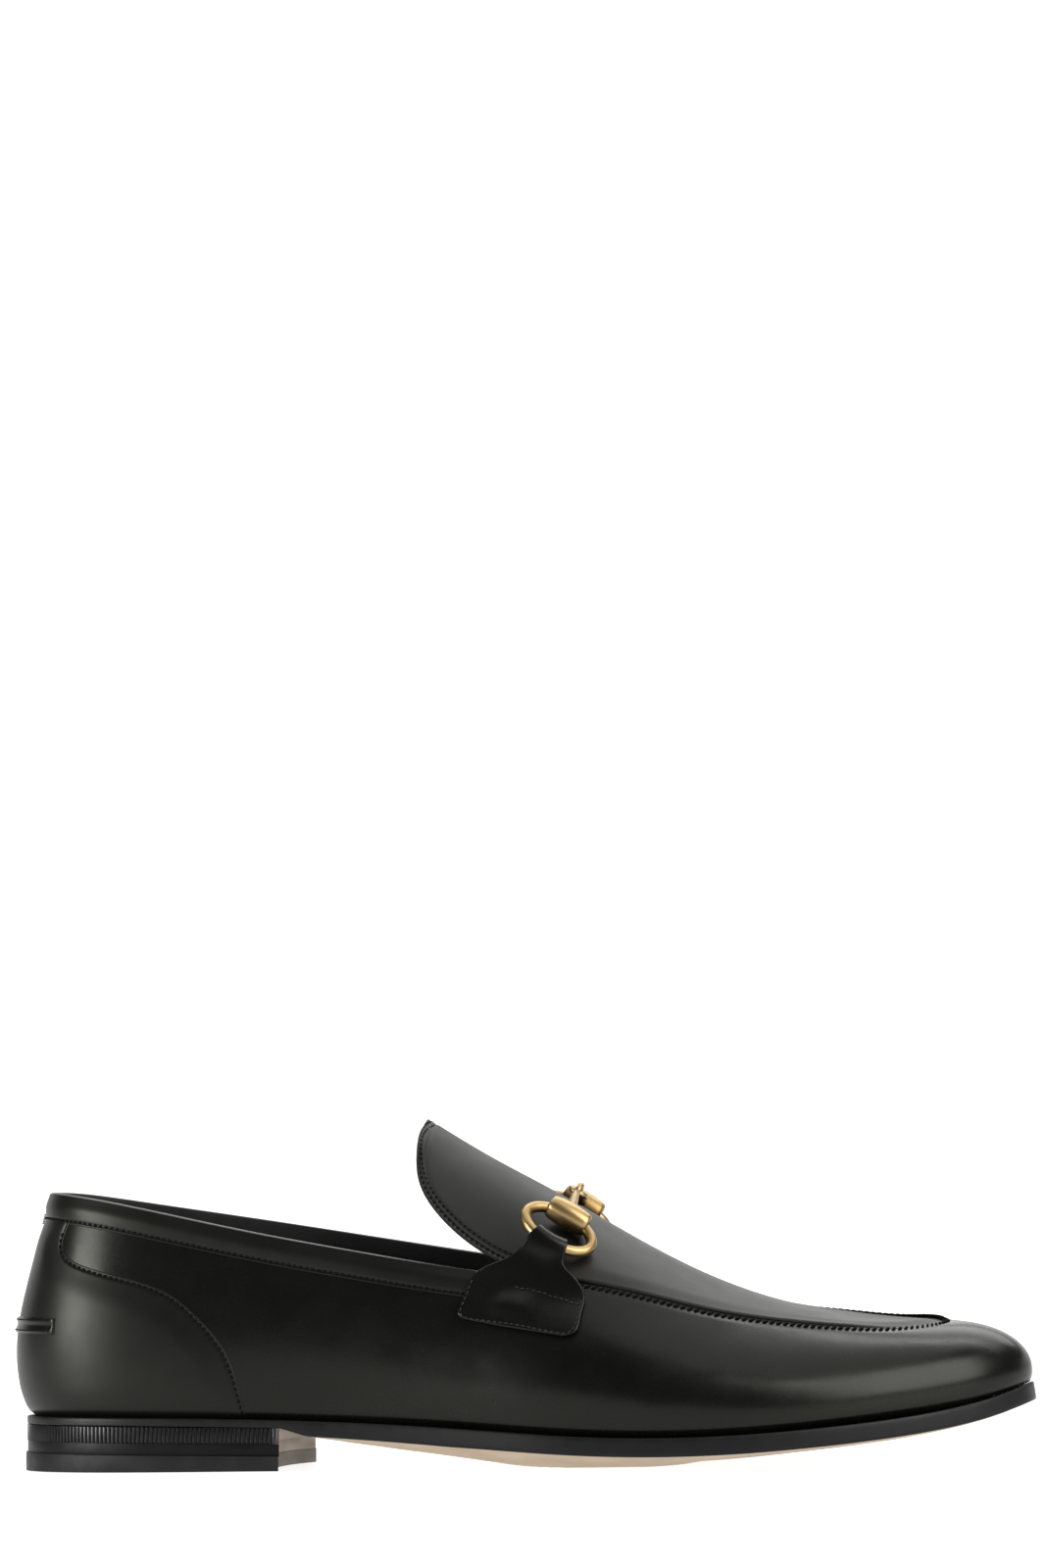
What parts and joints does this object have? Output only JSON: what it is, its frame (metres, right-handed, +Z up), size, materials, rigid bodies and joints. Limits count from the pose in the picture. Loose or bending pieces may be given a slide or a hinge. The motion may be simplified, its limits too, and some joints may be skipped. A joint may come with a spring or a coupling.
{
  "type": "horsebit loafer",
  "caption": "Black leather slip-on loafer for the right foot with a raised apron, free tongue, stacked heel and a brass snaffle-bit ornament held by stitched leather loops.",
  "frame": {"origin": "on the floor, under the middle of the shoe's overall box", "axes": "+X from heel to toe, +Y to the medial side, +Z up"},
  "size_m": [0.3014, 0.0969, 0.102],
  "materials": {
    "calf": "polished smooth black calf",
    "lining": "matte black lining leather",
    "sole_leather": "black dressed edge over natural pale leather",
    "heel_leather": "black dressed edge",
    "rubber": "matte black",
    "brass": "polished antique brass"
  },
  "bodies": {
    "root": {"outsole": "sole_leather", "insole": "lining", "heel_rib_band": "heel_leather", "heel_stack": "heel_leather", "top_lift": "rubber", "upper": "calf", "apron_tongue": "calf", "counter": "calf", "collar_band": "calf", "heel_tab": "calf", "bit_loop_lateral": "calf", "bit_loop_medial": "calf", "bit_half_lateral": "brass", "bit_half_medial": "brass"}
  },
  "joints": []
}
